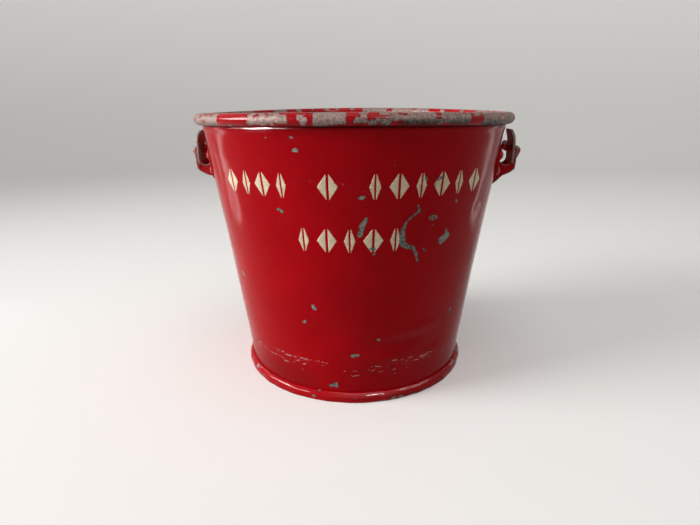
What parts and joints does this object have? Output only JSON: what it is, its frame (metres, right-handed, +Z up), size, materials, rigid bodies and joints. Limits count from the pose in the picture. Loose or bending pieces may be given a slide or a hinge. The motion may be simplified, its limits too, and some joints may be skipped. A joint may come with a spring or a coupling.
{
  "type": "fire bucket",
  "caption": "Tapered round sheet-steel pail with a wired rim, a folded foot hoop, riveted side ears and a swinging round-rod bail.",
  "frame": {"origin": "centre of the face that the foot hoop stands on", "axes": "+Z up along the bucket's axis, ears and bail pivots on the X axis, back seam and resting bail towards +Y, front towards -Y"},
  "size_m": [0.333, 0.305, 0.258],
  "materials": {
    "red_paint": "gloss paint over galvanised steel, chipped and worn at the edges",
    "rod_steel": "galvanised steel rod, dull and worn"
  },
  "bodies": {
    "pail": {"body_sheet": "red_paint", "rim_wire": "rod_steel", "bottom_disc": "red_paint", "foot_ring": "red_paint", "ear_left": "red_paint", "ear_right": "red_paint", "ear_rivet_left_front_low": "red_paint", "ear_rivet_left_front_high": "red_paint", "ear_rivet_left_back_low": "red_paint", "ear_rivet_left_back_high": "red_paint", "ear_rivet_right_front_low": "red_paint", "ear_rivet_right_front_high": "red_paint", "ear_rivet_right_back_low": "red_paint", "ear_rivet_right_back_high": "red_paint"},
    "bail": {"bail": "red_paint"}
  },
  "joints": [
    {"name": "bail_swing", "type": "hinge", "parent": "pail", "child": "bail", "pos_m": [0, 0, 0.2204], "axis": [1, 0, 0], "range_deg": [0, 257]}
  ]
}
